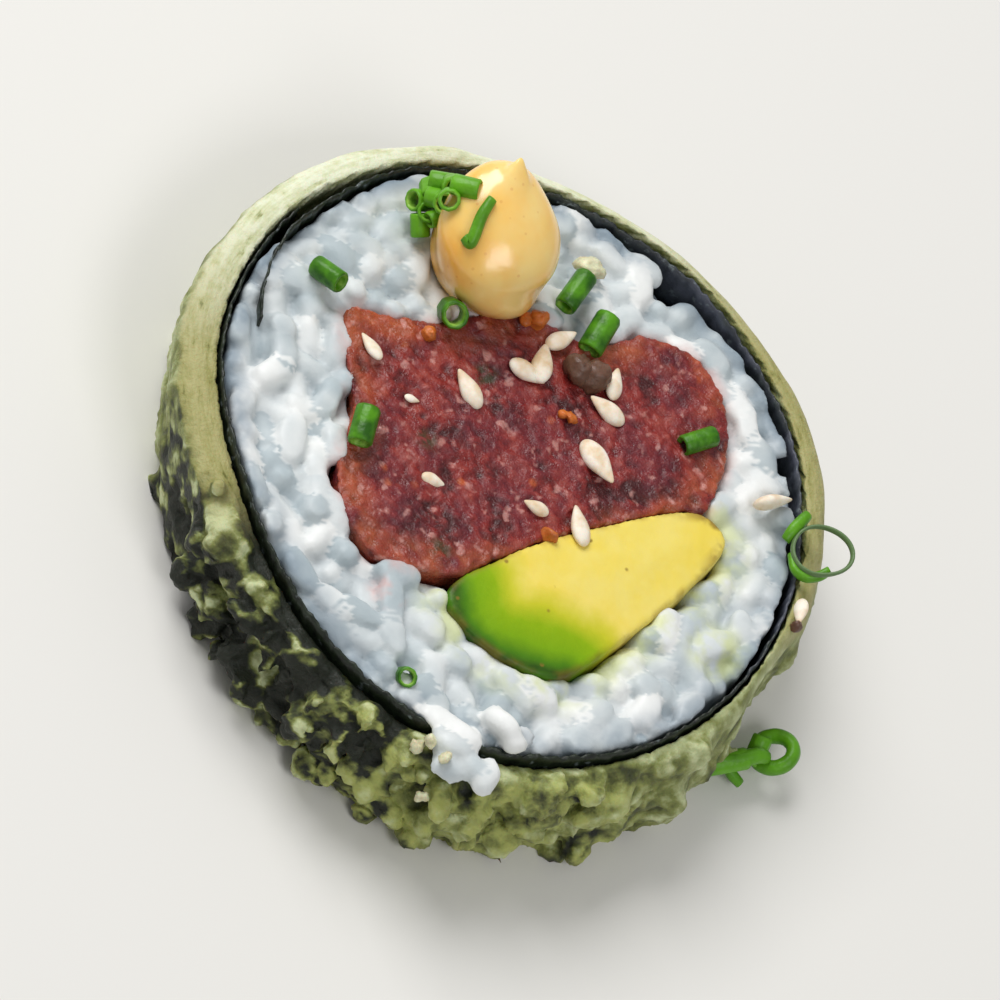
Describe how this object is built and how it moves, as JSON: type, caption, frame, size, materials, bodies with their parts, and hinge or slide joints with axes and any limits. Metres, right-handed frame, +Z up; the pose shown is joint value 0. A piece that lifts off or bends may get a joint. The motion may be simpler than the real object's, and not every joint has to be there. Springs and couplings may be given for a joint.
{
  "type": "piece of tempura maki",
  "caption": "Round slice of deep-fried sushi roll: seaweed and batter round rice, chopped tuna and avocado, with a sauce dollop, sesame and chives on top.",
  "frame": {"origin": "under the middle of the slice, on the surface that it lies on", "axes": "+Z is up, out of the cut face that shows; the avocado lies towards +X and the sauce dollop towards -X and +Y"},
  "size_m": [0.0576, 0.058, 0.0206],
  "materials": {
    "batter_crust": "dry craggy fried batter, pale green-yellow where it is lit, with the seaweed showing dark through it",
    "seaweed": "dark green-black, slightly glossy where it is damp",
    "cooked_rice": "moist, slightly translucent white grains",
    "raw_tuna": "wet deep red chopped flesh with lighter flecks",
    "avocado_flesh": "smooth, yellow, turning green at its outer edge",
    "spicy_sauce": "smooth glossy pale orange"
  },
  "bodies": {
    "root": {"tempura_crust": "batter_crust", "seaweed_sheet": "seaweed", "rice": "cooked_rice", "tuna": "raw_tuna", "avocado": "avocado_flesh", "sauce_dollop": "spicy_sauce"}
  },
  "joints": []
}
